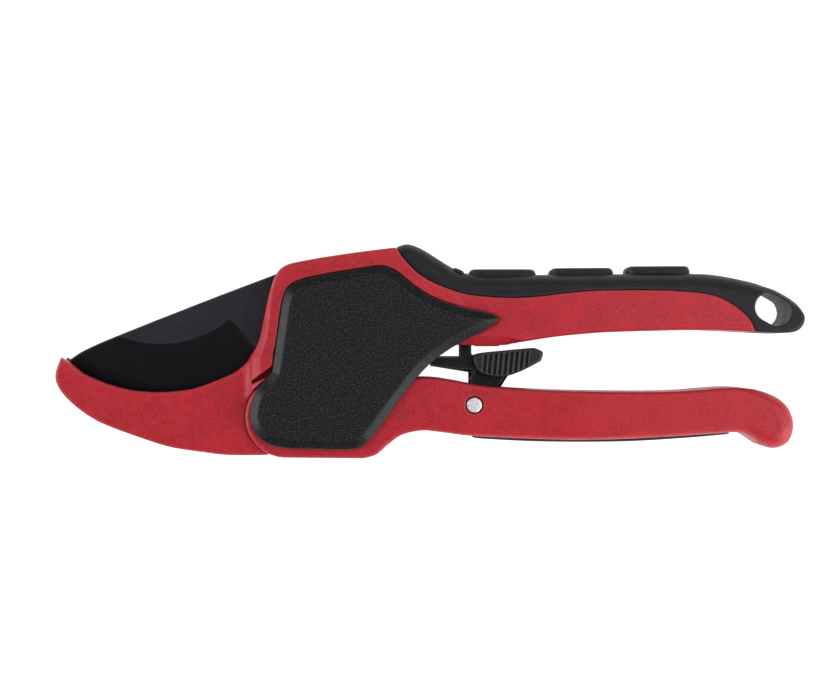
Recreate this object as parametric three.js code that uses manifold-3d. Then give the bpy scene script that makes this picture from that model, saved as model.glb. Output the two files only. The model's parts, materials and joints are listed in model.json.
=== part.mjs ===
// Anvil pruner with a compound action, closed, lying on its back cover.
// Millimetres. +X runs from the jaw to the handle ends, +Y from the lower handle to the upper one,
// +Z from the back cover to the front cover. The origin is on the blade pivot's axis, at the back
// cover's outer face. Inside the functions, heights are measured from the middle plane, and the
// blade pivot is at BLADE_PIVOT.
import * as THREE from "three";
import { mergeVertices } from "three/addons/utils/BufferGeometryUtils.js";
import Module from "manifold-3d";

const wasm = await Module();
wasm.setup();

// ---------------------------------------------------------------- driving dimensions
const HALF_DEPTH = 10.4; // middle plane to a cover's outer face
const GAP = 0.35; // running gap between neighbours
const BLADE_HALF = 1.25; // half the blade's thickness
const WALL_IN = 1.6; // the frame's slot for the blade, half width
const WALL_OUT = 4.2; // outer face of the frame's inner walls
const CHEEK_IN = 4.5; // inside of the lower handle's cheeks
const CHEEK_OUT = 7.6; // outside of the lower handle's cheeks
const COVER_IN = 7.9; // inner face of a cover
const RIM_OUT = 8.8; // the red rim round a cover
const HANDLE_HALF = 7.6; // half the handles' width at the head
const SWELL = 0.13; // how much wider the handles grow, as a share
const JAW_HALF = 5.2;
const GRIP_EDGE = 2.4; // rounding of the upper handle's long edges

const BLADE_PIVOT = [0, 3.2]; // the origin of the finished part, seen from above
const PIVOT = [-1.1, -14]; // lower handle's pivot
const CHEEK_RADIUS = 11.3; // the cheeks' round end, about that pivot
const DRIVE = [19.1, -11]; // drive pin, handles closed
const RIVET = [51, -10.7]; // catch rivet
const HANG_HOLE = [[132.2, 16.3], [134.5, 15]]; // the oval hole's two end centres
const HANG_RADIUS = 3.9;
const KEEPER = [43.6, 8.7]; // keeper pin
const HANDLE_TRAVEL = 36; // degrees
const RATIO = 0.75; // blade degrees per handle degree
const EDGE_CENTRE = [-36.9, 37.4]; // centre of the blade's round cutting edge
const EDGE_RADIUS = 45.6;
const GRIND_RADIUS = 31.2; // inner limit of the ground bevel
const COVER_SCREWS = [[17.5, 23.2], [37, 14.5]]; // a third one ends in the lower handle's pivot

const RED = { color: 0xa92a35, roughness: 0.5, metalness: 0.1 };
const BLACK_PLASTIC = { color: 0x2b2a30, roughness: 0.6, metalness: 0 };
const COVER_BLACK = { color: 0x323237, roughness: 0.5, metalness: 0 };
const BLADE_BLACK = { color: 0x1b1b20, roughness: 0.3, metalness: 0.6 };
const STEEL = { color: 0xb8b8bc, roughness: 0.3, metalness: 1 };
const NYLON = { color: 0x222226, roughness: 0.5, metalness: 0 };

// ---------------------------------------------------------------- tools
const radians = THREE.MathUtils.degToRad;
const vectors = (list) => list.map(([x, y]) => new THREE.Vector2(x, y));

function solid(geometry) {
  const plain = geometry.index ? geometry.toNonIndexed() : geometry;
  plain.deleteAttribute("normal");
  plain.deleteAttribute("uv");
  const merged = mergeVertices(plain, 1e-5);
  const corners = merged.index.array;
  const triVerts = [];
  for (let k = 0; k < corners.length; k += 3) {
    const [a, b, c] = corners.slice(k, k + 3);
    if (a !== b && b !== c && c !== a) triVerts.push(a, b, c);
  }
  return new wasm.Manifold(new wasm.Mesh({
    numProp: 3,
    vertProperties: new Float32Array(merged.attributes.position.array),
    triVerts: new Uint32Array(triVerts),
  }));
}

function geometryOf(manifold) {
  const { vertProperties, triVerts } = manifold.getMesh();
  const geometry = new THREE.BufferGeometry();
  geometry.setAttribute("position", new THREE.BufferAttribute(new Float32Array(vertProperties), 3));
  geometry.setIndex(new THREE.BufferAttribute(new Uint32Array(triVerts), 1));
  return geometry;
}

// A closed outline: the first entry is where it starts; every other entry is one point, for a
// straight line, or a list of points, for a smooth curve through them.
function outline([start, ...steps], divisions = 2) {
  const path = new THREE.Shape();
  path.moveTo(...start);
  for (const step of steps) {
    if (Array.isArray(step[0])) path.splineThru(vectors(step));
    else path.lineTo(...step);
  }
  const points = path.getPoints(divisions);
  if (points[0].distanceTo(points.at(-1)) < 1e-6) points.pop();
  return THREE.ShapeUtils.isClockWise(points) ? points.reverse() : points;
}

function arc([x, y], radius, from, to, steps) {
  return Array.from({ length: steps + 1 }, (_, k) => {
    const turn = radians(from + ((to - from) * k) / steps);
    return [x + radius * Math.cos(turn), y + radius * Math.sin(turn)];
  });
}

const circle = (centre, radius, sides = 20) =>
  vectors(arc(centre, radius, 0, 360 * (1 - 1 / sides), sides - 1));

// The same outline moved outwards by a distance, along the mean of each corner's two normals.
function grown(points, distance) {
  return points.map((here, k) => {
    const before = points[(k + points.length - 1) % points.length];
    const after = points[(k + 1) % points.length];
    const arriving = here.clone().sub(before).normalize();
    const leaving = after.clone().sub(here).normalize();
    const normal = new THREE.Vector2(arriving.y + leaving.y, -arriving.x - leaving.x).normalize();
    const open = Math.max(0.5, normal.x * leaving.y - normal.y * leaving.x);
    return here.clone().addScaledVector(normal, distance / open);
  });
}

// A plate with its outer edges rounded by edge, or sloped by edge across and rise upwards.
function plate(points, low, high, edge = 0, steps = 2, rise = edge) {
  const geometry = new THREE.ExtrudeGeometry(new THREE.Shape(points), {
    depth: high - low - 2 * rise,
    bevelEnabled: edge > 0,
    bevelThickness: rise,
    bevelSize: edge,
    bevelOffset: -edge,
    bevelSegments: steps,
  });
  geometry.translate(0, 0, low + rise);
  return geometry;
}

const slab = (points, low, high, edge, steps) => solid(plate(points, low, high, edge, steps));
const pin = (place, radius, low, high, sides = radius < 2 ? 12 : 20) =>
  slab(circle(place, radius, sides), low, high);
const bothSides = (points, low, high, edge, steps) =>
  slab(points, low, high, edge, steps).add(slab(points, -high, -low, edge, steps));

// Widens a handle towards its middle: heights grow smoothly between two places along X.
function swollen(geometry, from, to) {
  const position = geometry.attributes.position;
  for (let k = 0; k < position.count; k += 1) {
    const share = THREE.MathUtils.smoothstep(position.getX(k), from, to);
    position.setZ(k, position.getZ(k) * (1 + SWELL * share));
  }
  return solid(geometry);
}

function turned(points, [x, y], degrees) {
  const centre = new THREE.Vector2(x, y);
  return points.map((point) => point.clone().rotateAround(centre, radians(degrees)));
}

// Everything that a plate passes over while it turns clockwise about a pivot.
function swept(points, low, high, pivot, travel, steps) {
  let whole = slab(points, low, high);
  for (let k = 1; k <= steps; k += 1) {
    whole = whole.add(slab(turned(points, pivot, (-travel * k) / steps), low, high));
  }
  return whole;
}

// The outline of a slot or bar of even width along a path, with round ends.
function track(path, radius, steps = 8) {
  const heading = (k) => {
    const from = path[Math.max(k - 1, 0)];
    const to = path[Math.min(k + 1, path.length - 1)];
    return THREE.MathUtils.radToDeg(Math.atan2(to[1] - from[1], to[0] - from[0]));
  };
  const side = (k, turn) => arc(path[k], radius, heading(k) + turn, 0, 1)[0];
  const last = path.length - 1;
  return vectors([
    ...path.slice(0, last).map((_, k) => side(k, -90)),
    ...arc(path[last], radius, heading(last) - 90, heading(last) + 90, steps),
    ...path.slice(1, last).map((_, k) => side(k + 1, 90)).reverse(),
    ...arc(path[0], radius, heading(0) + 90, heading(0) + 270, steps).slice(0, -1),
  ]);
}

function wire(points, radius, steps) {
  const path = new THREE.CatmullRomCurve3(points.map((p) => new THREE.Vector3(...p)));
  const section = new THREE.Shape(circle([0, 0], radius, 6));
  return solid(new THREE.ExtrudeGeometry(section, {
    steps, bevelEnabled: false, extrudePath: path,
  }));
}

// A coil spring about a pin: its turns climb by pitch, clockwise where turns is negative, with a
// straight leg at each end.
function coilSpring([x, y], radius, thickness, start, turns, low, pitch, firstLeg, lastLeg) {
  const points = [[...firstLeg, low]];
  const count = Math.round(Math.abs(turns) * 12);
  const climb = pitch * Math.abs(turns);
  for (let k = 0; k <= count; k += 1) {
    const turn = radians(start + (360 * turns * k) / count);
    points.push([
      x + radius * Math.cos(turn), y + radius * Math.sin(turn), low + (climb * k) / count,
    ]);
  }
  points.push([...lastLeg, low + climb]);
  return wire(points, thickness, count + 10);
}

// ---------------------------------------------------------------- outlines
const jawOutline = outline([
  [-63.9, 2.4], [-61.6, 0.9],
  [[-58, -1.9], [-55.8, -3], [-51.4, -4.8], [-46.9, -6.1], [-42.5, -6.9],
    [-36, -7.2], [-29.1, -6.6], [-24.7, -5.5], [-20.2, -3.8], [-15.8, -1.9], [-13, 0],
    [-10.2, 2.6]], [-6, 6], [6, -8], [-3.65, -22.6], [-4, -24.6],
  [[-9.1, -24.8], [-18, -24.7], [-24.7, -23.9], [-33.6, -22.5], [-42.5, -19.7],
    [-51.4, -16.4], [-55.8, -14.1], [-60.3, -10.8], [-64.2, -6.6], [-65.5, -2.5]],
]);

const headOutline = outline([
  [-10.2, 2.6],
  [[-8.2, 8.4], [-6.4, 16.5], [-4.3, 24], [-1.6, 27.6], [4.5, 29.3], [17.8, 31.4], [29.9, 32.9]],
  [33, 33.5], [44, 24], [50, 12], [44, 6.4], [33, 3.6], [14.2, -7.8], [-10.4, -7.8],
]);

// The inner walls carry both pivots and stay clear of the drive pin's path.
const wallOutline = outline([
  [-24, -9], [-10.4, 2.4], [8, 8], [33, 3.6], [24, -2], [14.2, -7.8], [7, -10.6],
  ...arc(PIVOT, 8.4, 10, -100, 8), [-9, -24], [-22, -23.5],
]);

// A wedge-shaped slot across the rim's lower end, down to the wall; a thin ridge is left beside it.
const wedgeOutline = outline([[-4, 0.6], [-10.7, -4.3], [-10.3, -4.9], [-4, -1.9]]);

const coverOutline = outline([
  [-4.7, -1.4], [-2, 17.2],
  [[-0.9, 20.8], [1.4, 23], [4.7, 24.2]], [11.3, 25.6], [21, 27.1],
  [[25.4, 27.6], [29.2, 26.3], [34.6, 22], [40.6, 18.5], [48.6, 16], [53.8, 15]],
  [57.8, 13], [52.4, 9.4],
  [[44.2, 4.8], [37.6, -0.4], [31, -8.4], [23.4, -18.8], [21.2, -21.2], [18.8, -22.6],
    [15.4, -23]], [0.4, -22.7],
  [[-5.4, -21.6], [-9.4, -18.4], [-10.8, -13], [-9.3, -7], [-6.4, -3.7]],
], 2);

// Where the black grip meets the red upper handle.
const gripEdge = [
  [31, 30.3], [35.1, 26], [39.8, 23.1], [45, 21.1], [50.4, 19.8], [59.6, 19], [68, 19.3],
  [77.3, 20.4], [86.1, 21], [99.3, 21.1], [108, 20.8], [114.7, 20.1], [119.1, 18.8],
  [123.5, 16.1], [126.8, 13], [128.4, 9.6],
];
const gripRegion = outline([[28.6, 34], gripEdge, [129, 0], [160, 0], [160, 50], [28.6, 50]]);

const upperHandleOutline = outline([
  [29.7, 33.1], [[32.4, 34], [36, 32.9], [40, 30.5], [44.3, 27.8], [48, 26], [54, 25.3]],
  [110, 25.8],
  [[117.8, 25.4], [126.7, 23.7], [131.1, 22.4], [135.6, 20.7], [140, 17.6], [142.2, 13.6],
    [141, 10.4], [137.6, 9.2]],
  [[129.2, 9.4], [120, 9.9], [111.1, 10.1], [91.1, 9.6], [82.2, 9], [73.3, 8.1], [64.4, 6.7],
    [57.7, 5.35], [51, 5.3], [42.9, 5.9]],
  [30, 8], [16, 20],
]);

// The upper handle is a channel, open towards the lower handle; a rib above it holds the grip.
const catchChannel = outline([
  [40.4, -4], [40.4, 12], [[42, 13.6], [48, 14.8], [60, 15]], [110, 16.2], [[116, 15.2], [118.5, 12]],
  [118.5, -4],
]);
const gripRib = outline([
  [34, 24], [[38, 25.6], [46, 23], [54, 22.6]], [108, 23.2], [[118, 21.8], [125, 18.4]],
  [123, 14], [34, 14],
]);

const lowerHandleOutline = outline([
  [6, -4], [12, -5],
  [[26, -3.4], [37.6, -3], [44.3, -3.8], [51, -5], [57.6, -5.8], [70.9, -6.6], [88.7, -7],
    [106.4, -6.9], [119.8, -5.9], [126, -6], [131, -7], [135.8, -9.2], [139, -12.9],
    [139.8, -17], [138.4, -21], [134.8, -22.8], [131, -22], [127.4, -19.6], [124, -18.3],
    [115.3, -18.8], [97.6, -19.9], [82, -20.4], [68.7, -20.2], [51, -19.4], [42.1, -18.3],
    [36.5, -17.8], [31, -19], [27, -21.8], [24, -24.4], [20.4, -25.5]],
  [10, -25.4], ...arc(PIVOT, CHEEK_RADIUS, -92, -264, 18),
]);

// The head end of the lower handle: what has to pass between the frame's walls and the covers.
const cheekOutline = outline([
  [6, -4], [12, -5], [26, -3.5], [37.6, -3], [60, -6], [60, -18], [36.5, -17.8], [31, -19],
  [24, -24.4], [20.4, -25.5], [10, -25.4], ...arc(PIVOT, CHEEK_RADIUS, -92, -264, 14),
]);

// The lower handle's cheeks are joined under the heel and again from the channel's floor on.
const heelFloor = outline([[1.5, -23.3], [19.6, -23.3], [21, -30], [1.5, -30]]);
const lowerChannel = outline([
  [-18, 4], [-18, -32], [1.5, -32], [1.5, -23.3], [19.6, -23.3], [21, -32], [35, -32], [35, -15.4],
  [45, -15.2], [[56, -15], [62.5, -13.6], [65.4, -9.6], [66, 0]], [66, 4],
]);
const lowerGripSeat = outline([
  [50, -30], [50, -17.2], [[66, -17.6], [82, -17.8], [97, -17.4], [122, -15.9]], [123, -30],
]);
const lowerGripOutline = outline([
  [50.4, -19.8], [50.4, -17.6], [[66, -18], [82, -18.2], [97, -17.8], [121.7, -16.3]],
  [122, -18.9], [[113.5, -19.7], [97, -20.8], [82.3, -21.1], [66.7, -20.9], [53.3, -20.2]],
]);

// Where the drive pin is, in the blade's own frame, with the handle opened by some degrees.
function pinInBlade(degrees) {
  const place = new THREE.Vector2(...DRIVE);
  place.rotateAround(new THREE.Vector2(...PIVOT), radians(-degrees));
  place.rotateAround(new THREE.Vector2(...BLADE_PIVOT), radians(degrees * RATIO));
  return [place.x, place.y];
}
const camPath = Array.from({ length: 7 }, (_, k) => pinInBlade((HANDLE_TRAVEL * k) / 6));

// Where the return spring's coil comes beside the tang, with the handles fully open.
const coilRelief = turned(vectors([PIVOT]), BLADE_PIVOT, HANDLE_TRAVEL * RATIO)[0].toArray();
const COIL_ROOM = 6.2;

const bladeOutline = outline([
  [-63.1, 1.4], [[-59, 4.1], [-53.2, 6.8]], [-38.5, 12.7], [-20.6, 19.7], [-3.4, 26.2],
  [-1.6, 25], [4.4, 10.4],
  [[8, 5.4], [13, 0], [20, -4.2], [27.6, -6.6], [32.8, -10.6], [32.4, -16.2], [27.4, -18.7],
    [20, -17]],
  [10, -9.4], [[5.6, -4.2], [0, -4.8], [-6, -4]], [-12.6, -3],
  ...arc(EDGE_CENTRE, EDGE_RADIUS, -58, -124.8, 16),
]);

// The part of the blade that moves inside the head, its edge side widened to the groove.
const tangRoom = outline([
  [-66, 26.4], [-3.3, 26.4], [-1.4, 25.2], [4.4, 10.6], [8, 5.6], [13, 0.2], [20, -4], [27.6, -6.4],
  [33, -10.6], [32.6, -16.4], [27.4, -18.9], [20, -17.2], [10, -9.6],
  [[5.6, -4.4], [0, -5], [-6, -4.6]], [-12, -4.4], [-16, -4.6], [-38, -6.4], [-56, -2.4], [-66, -1],
]);
const grindOutline = outline([
  [-70, -14], [-70, 30], [-40, 14], [-17.6, 13.4], [-8.8, 4.6], [-8.8, -14],
]);

// The catch: hook, arm, stem and the tongue inside the thumb pad.
const catchOutline = outline([
  [47.5, -10.8], ...arc(RIVET, 3.6, 180, 360, 10).slice(1), [59, -5.4], [61.6, -1.3],
  [66, 1.4], [66, 3.4], [52.6, 2.2], [50.4, 3.4], [50.4, 12], [49.6, 12.9], [46.7, 12.9],
  [45.1, 11.6], [45.1, 11], [46.9, 11], [46.9, 2.8], [39.6, 2.8], [38.8, 2], [38.8, 0],
  [49.5, -1.7], [49.5, -5.2],
]);
const padOutline = outline([
  [50.7, 1.5], [[51.8, 3.4], [60, 4.4], [67.6, 5.1]], [[70, 3.9], [69.5, 1.5]],
  [[66, -0.4], [62.9, -1.8], [59.4, -2.8], [55.5, -2.6], [52.2, -1.4], [50.7, 1.5]],
]);

// ---------------------------------------------------------------- frame body
function anvilGroove(grow) {
  const floor = EDGE_RADIUS + 3.2 + grow;
  const top = EDGE_RADIUS + (grow < 0 ? GAP : -4);
  return bothSides(vectors([
    ...arc(EDGE_CENTRE, top, -121 - grow, -61 + grow, 14),
    ...arc(EDGE_CENTRE, floor, -61 + grow, -121 - grow, 14),
  ]), -0.1, 2.2 + grow);
}

const anvilPinPlaces = [-78, -102].map((turn) => (
  arc(EDGE_CENTRE, EDGE_RADIUS + 1.9, turn, turn, 1)[0]
));

function upperFrame() {
  const rim = bothSides(headOutline, WALL_OUT, RIM_OUT, 0.8, 1)
    .subtract(bothSides(grown(coverOutline, 0.45), CHEEK_OUT, RIM_OUT + 1));
  let whole = slab(jawOutline, -JAW_HALF, JAW_HALF, 1.4)
    .add(slab(wallOutline, -WALL_OUT, WALL_OUT))
    .add(rim)
    .add(slab(headOutline, -WALL_OUT - 0.2, WALL_OUT + 0.2))
    .add(upperHandleForm())
    .subtract(slab(grown(gripRegion, GAP), -12, 12))
    .add(slab(gripRib, -2.6, 2.6));
  const travel = [PIVOT, HANDLE_TRAVEL, 5];
  const handleRoom = grown(cheekOutline, GAP);
  const cuts = [
    slab(grown(coverOutline, 0.45), COVER_IN - GAP, 12),
    slab(grown(coverOutline, 0.45), -12, GAP - COVER_IN),
    swept(grown(tangRoom, 0.5), -WALL_IN, WALL_IN, BLADE_PIVOT, HANDLE_TRAVEL * RATIO, 4),
    swept(handleRoom, WALL_OUT, 12, ...travel),
    swept(handleRoom, -12, -WALL_OUT, ...travel),
    swept(grown(heelFloor, GAP), -WALL_OUT - 0.1, WALL_OUT + 0.1, ...travel),
    bothSides(wedgeOutline, WALL_OUT, 12),
    slab(catchChannel, -5, 5, 1, 1),
    anvilGroove(0),
    ...anvilPinPlaces.map((place) => pin(place, 1.35, -4, 4)),
    pin(PIVOT, 3.3, -9, 9),
    pin(PIVOT, 6.4, -3, 3),
    slab(outline([PIVOT, [-9, -28], [24, -28], [11, -14]]), -3, 3),
    slab(track([[-3, -19.1], [-13, -19.3]], 1.1), -2.6, 2.6),
    pin(BLADE_PIVOT, 3.8, -9, 9),
    pin(BLADE_PIVOT, 4.3, 4.7, 9),
    pin(BLADE_PIVOT, 4.3, -9, -4.7),
    pin(KEEPER, 1.65, -6.9, 6.9),
    ...COVER_SCREWS.map((place) => pin(place, 1.8, -9, 9)),
  ];
  for (const cut of cuts) whole = whole.subtract(cut);
  return whole;
}

function upperHandleForm() {
  return swollen(plate(upperHandleOutline, -HANDLE_HALF, HANDLE_HALF, GRIP_EDGE), 52, 80);
}

function upperGrip() {
  let whole = upperHandleForm().intersect(slab(gripRegion, -12, 12));
  const pads = [[45.2, 48.2, 26.8], [49.4, 68.4, 27], [72, 90, 27.4], [93.2, 111.4, 27.9]];
  for (const [from, to, top] of pads) {
    whole = whole.add(slab(outline([
      [from, 23], [from, 25.4], [from + 0.8, top], [to - 1.4, top], [to, 25.2], [to, 23],
    ]), -5.6, 5.6, 0.7));
  }
  return whole.subtract(slab(grown(gripRib, GAP), -2.6 - GAP, 2.6 + GAP))
    .subtract(slab(track(HANG_HOLE, HANG_RADIUS), -12, 12));
}

function anvilInsert() {
  let whole = anvilGroove(-GAP);
  for (const place of anvilPinPlaces) whole = whole.subtract(pin(place, 1.35, -4, 4));
  return whole;
}

function cover() {
  return solid(plate(coverOutline, COVER_IN - 2.5, HALF_DEPTH, 2.4, 1, 1.5))
    .subtract(slab(outline([[-90, -90], [90, -90], [90, 90], [-90, 90]]), 0, COVER_IN));
}

function frontCover() {
  let whole = cover();
  for (const place of COVER_SCREWS) whole = whole.subtract(pin(place, 1.75, 6, 9.3));
  return whole;
}

function backCover() {
  let whole = cover().mirror([0, 0, 1]);
  for (const place of [...COVER_SCREWS, PIVOT]) {
    whole = whole.subtract(pin(place, 1.75, -12, 0)).subtract(pin(place, 3.1, -12, -8.9));
  }
  return whole;
}

function coverScrew(place, end) {
  return pin(place, 2.75, -10.1, -9.2).add(pin(place, 1.4, -9.3, end))
    .subtract(slab(circle(place, 1.3, 6), -11, -9.6));
}

function bladeBolt() {
  return pin(BLADE_PIVOT, 3.5, -4.4, 5.1).add(pin(BLADE_PIVOT, 3.95, 5, 7.3))
    .add(pin(BLADE_PIVOT, 1.9, -7.2, -4.3)).subtract(slab(circle(BLADE_PIVOT, 2, 6), 6, 8));
}

const bladeNut = () => slab(circle(BLADE_PIVOT, 3.95, 6), -7.4, -5).subtract(pin(BLADE_PIVOT, 2.2, -9, 0));
const lowerPin = () => pin(PIVOT, 3, -7.4, 7.4).subtract(pin(PIVOT, 1.75, -9, -2.4));
const springCore = () => pin(PIVOT, 4, -2.7, 2.7).subtract(pin(PIVOT, 3.35, -5, 5));
const keeperPin = () => pin(KEEPER, 1.3, -6.6, 6.6);
const returnSpring = () => coilSpring(
  PIVOT, 5, 0.6, -84, -2.03, -1.5, 1.5, [15, -22.3], [-12.4, -19.3],
);

// ---------------------------------------------------------------- lower handle body
function lowerHandle() {
  let whole = swollen(plate(lowerHandleOutline, -CHEEK_OUT, CHEEK_OUT, 1.5), 58, 84);
  const cuts = [
    slab(lowerChannel, -CHEEK_IN, CHEEK_IN),
    slab(lowerGripSeat, -5, 5),
    pin(PIVOT, 3.3, -9, 9),
    pin(DRIVE, 2.8, -9, 9),
    pin(RIVET, 1.9, -9, 9),
    pin(RIVET, 2.45, 7, 9),
    pin(RIVET, 2.45, -9, -7),
  ];
  for (const cut of cuts) whole = whole.subtract(cut);
  return whole;
}

const lowerGrip = () => slab(lowerGripOutline, -4.6, 4.6, 0.5);
const drivePin = () => pin(DRIVE, 2.5, -7.4, 7.4);
const catchRivet = () => pin(RIVET, 1.6, -7.8, 7.8).add(pin(RIVET, 2.05, 7.3, 7.9))
  .add(pin(RIVET, 2.05, -7.9, -7.3));
const catchSpring = () => coilSpring(
  RIVET, 2.9, 0.3, 0, 2.25, 2.2, 0.8, [54.2, -7.2], [58.2, -13.8],
);

// ---------------------------------------------------------------- blade body
function blade() {
  const half = BLADE_HALF;
  const profile = vectors([[0, -half], [GRIND_RADIUS, -half], [EDGE_RADIUS + 1, -0.08],
    [EDGE_RADIUS + 1, 0.08], [GRIND_RADIUS, half], [0, half]]);
  const lens = new THREE.LatheGeometry(profile, 48).rotateX(Math.PI / 2);
  lens.translate(...EDGE_CENTRE, 0);
  const grind = slab(grindOutline, -2, 2).subtract(solid(lens));
  return slab(bladeOutline, -half, half).subtract(grind)
    .subtract(slab(track(camPath, 2.9), -2, 2)).subtract(pin(BLADE_PIVOT, 5.3, -2, 2))
    .subtract(pin(coilRelief, COIL_ROOM, -2, 2));
}

const bladeBush = () => pin(BLADE_PIVOT, 5, -1.15, 1.15).subtract(pin(BLADE_PIVOT, 3.8, -2, 2));

// ---------------------------------------------------------------- catch body
const catchPlate = () => slab(catchOutline, -1.5, 1.5).subtract(pin(RIVET, 1.95, -2, 2));

function thumbPad() {
  let whole = slab(padOutline, -7, 7, 0.6, 1)
    .subtract(slab(grown(catchOutline, 0.3), -1.8, 1.8));
  for (let k = 0; k < 9; k += 1) {
    const x = 52.8 + 1.75 * k;
    const groove = outline([[x, -6], [x + 0.6, -6], [x + 1.2, 8], [x + 0.6, 8]]);
    whole = whole.subtract(bothSides(groove, 6.5, 8));
  }
  return whole;
}

// ---------------------------------------------------------------- assembly
const pruner = new THREE.Group();
pruner.position.set(-BLADE_PIVOT[0], -BLADE_PIVOT[1], HALF_DEPTH);

function place(name, manifold, finish) {
  const mesh = new THREE.Mesh(geometryOf(manifold), new THREE.MeshStandardMaterial(finish));
  mesh.name = name;
  pruner.add(mesh);
}

place("upper_frame", upperFrame(), RED);
place("upper_grip", upperGrip(), BLACK_PLASTIC);
place("anvil_insert", anvilInsert(), NYLON);
anvilPinPlaces.forEach((at, k) => place(`anvil_pin_${k + 1}`, pin(at, 1.05, -3.6, 3.6, 16), STEEL));
place("front_cover", frontCover(), COVER_BLACK);
place("back_cover", backCover(), COVER_BLACK);
COVER_SCREWS.forEach((at, k) => place(`cover_screw_${k + 1}`, coverScrew(at, 9), STEEL));
place("pivot_screw", coverScrew(PIVOT, -3), STEEL);
place("blade_bolt", bladeBolt(), STEEL);
place("blade_nut", bladeNut(), STEEL);
place("lower_pivot_pin", lowerPin(), STEEL);
place("spring_core", springCore(), NYLON);
place("return_spring", returnSpring(), STEEL);
place("keeper_pin", keeperPin(), STEEL);
place("lower_handle", lowerHandle(), RED);
place("lower_grip", lowerGrip(), BLACK_PLASTIC);
place("drive_pin", drivePin(), STEEL);
place("catch_rivet", catchRivet(), STEEL);
place("catch_spring", catchSpring(), STEEL);
place("blade", blade(), BLADE_BLACK);
place("blade_bush", bladeBush(), NYLON);
place("catch_plate", catchPlate(), BLACK_PLASTIC);
place("thumb_pad", thumbPad(), BLACK_PLASTIC);

export default pruner;
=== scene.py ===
"""Looks for an anvil pruner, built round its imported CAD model.

Outlines are drawn in millimetres: X runs from the jaw to the handle ends, Y from the lower handle
to the upper one, and heights (Z) are measured from the middle plane of the tool. Each piece is a
field of distances on a grid of points, joined and cut with soft corners as a casting has them,
and its surface is the mesh where the field crosses zero. The two springs are tubes.
"""
import json
import math

import bpy
import numpy as np
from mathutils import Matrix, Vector


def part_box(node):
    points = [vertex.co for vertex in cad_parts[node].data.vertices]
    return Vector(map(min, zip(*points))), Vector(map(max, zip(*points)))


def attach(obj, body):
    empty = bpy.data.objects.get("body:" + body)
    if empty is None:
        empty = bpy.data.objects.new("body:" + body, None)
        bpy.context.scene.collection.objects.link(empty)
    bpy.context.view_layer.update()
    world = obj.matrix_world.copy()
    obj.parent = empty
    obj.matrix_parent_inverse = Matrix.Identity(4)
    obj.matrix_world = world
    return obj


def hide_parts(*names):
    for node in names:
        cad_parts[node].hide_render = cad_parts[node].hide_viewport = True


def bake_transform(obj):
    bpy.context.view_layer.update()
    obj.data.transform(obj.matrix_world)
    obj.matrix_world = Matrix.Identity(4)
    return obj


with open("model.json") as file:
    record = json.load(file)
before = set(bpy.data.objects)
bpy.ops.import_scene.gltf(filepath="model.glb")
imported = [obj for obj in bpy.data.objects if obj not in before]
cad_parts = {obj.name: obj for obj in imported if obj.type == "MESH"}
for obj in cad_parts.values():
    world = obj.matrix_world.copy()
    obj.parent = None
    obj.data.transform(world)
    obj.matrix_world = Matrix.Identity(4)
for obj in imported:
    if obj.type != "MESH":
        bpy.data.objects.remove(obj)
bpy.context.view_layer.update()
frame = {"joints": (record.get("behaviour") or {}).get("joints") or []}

# ---------------------------------------------------------------- driving dimensions, millimetres
MM = 0.001
JOINTS = {joint["name"]: joint for joint in frame["joints"]}
HALF_DEPTH = JOINTS["blade_pivot"]["pos_m"][2] / MM
BLADE_PIVOT = (0.0, 3.2)  # where the drawing has the model's origin
ORIGIN = np.array([*BLADE_PIVOT, -HALF_DEPTH])
GAP = 0.35
FIT = 0.15  # what shows of a gap between two pieces that lie close together
SEAM = 0.06  # half of the joint line between the black grip and the red handle
BLADE_HALF = 1.25
WALL_IN, WALL_OUT = 1.6, 4.2
CHEEK_IN, CHEEK_OUT = 4.5, 7.6
COVER_IN, COVER_SIDE = 7.9, 8.9
RIM_OUT = 8.8
HANDLE_HALF, SWELL = 7.6, 0.13
JAW_HALF = 5.2
CHANNEL_HALF = 5.0  # half the width of the slot in the upper handle that takes the catch
RIB_HALF = 2.6  # half the width of the casting's rib inside the grip
CATCH_HALF = 1.5
CHEEK_RADIUS = 11.3
PIVOT_BORE, BOLT_BORE, SCREW_BORE, PIN_BORE = 3.3, 3.8, 1.8, 1.65
RIVET_SHANK, RIVET_HEAD, RIVET_RECESS = 1.6, 2.05, 2.45
SCREW_HEAD, COVER_BORE, COVER_RECESS = 2.75, 1.75, 3.1
NUT_RADIUS = 3.95
THROUGH = 9.0  # past both faces of the castings
HANG_HOLE = [(132.2, 16.3), (134.5, 15)]
HANG_RADIUS = 3.9
EDGE_CENTRE, EDGE_RADIUS, GRIND_RADIUS = (-36.9, 37.4), 45.6, 31.2
RUN_OUT = (-17.6, 13.4)  # on the line where the ground bevel ends, before the rim
RUN_OUT_NORMAL = (-math.sqrt(0.5), -math.sqrt(0.5))  # points into the bevel
HANDLE_TRAVEL = JOINTS["handle_pivot"]["range_deg"][1]
BLADE_TRAVEL = JOINTS["blade_pivot"]["range_deg"][1]
FINE = 1.0


def drawn(place):
    """A place in the model's frame, in metres, as millimetres of the drawing."""
    return np.array(place) / MM + ORIGIN


def model_place(x, y):
    """A place of the drawing in the model's frame, in metres."""
    return (np.array([x, y]) - ORIGIN[:2]) * MM


def span(node):
    """The lowest and highest corner of a CAD node, in millimetres of the drawing."""
    low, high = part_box(node)
    return drawn(low), drawn(high)


def middle(node):
    low, high = span(node)
    return tuple((low + high)[:2] / 2)


PIVOT = tuple(drawn(JOINTS["handle_pivot"]["pos_m"])[:2])
RIVET = tuple(drawn(JOINTS["catch_pivot"]["pos_m"])[:2])
DRIVE = middle("drive_pin")
KEEPER = middle("keeper_pin")
COVER_SCREWS = [middle("cover_screw_1"), middle("cover_screw_2")]


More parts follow.
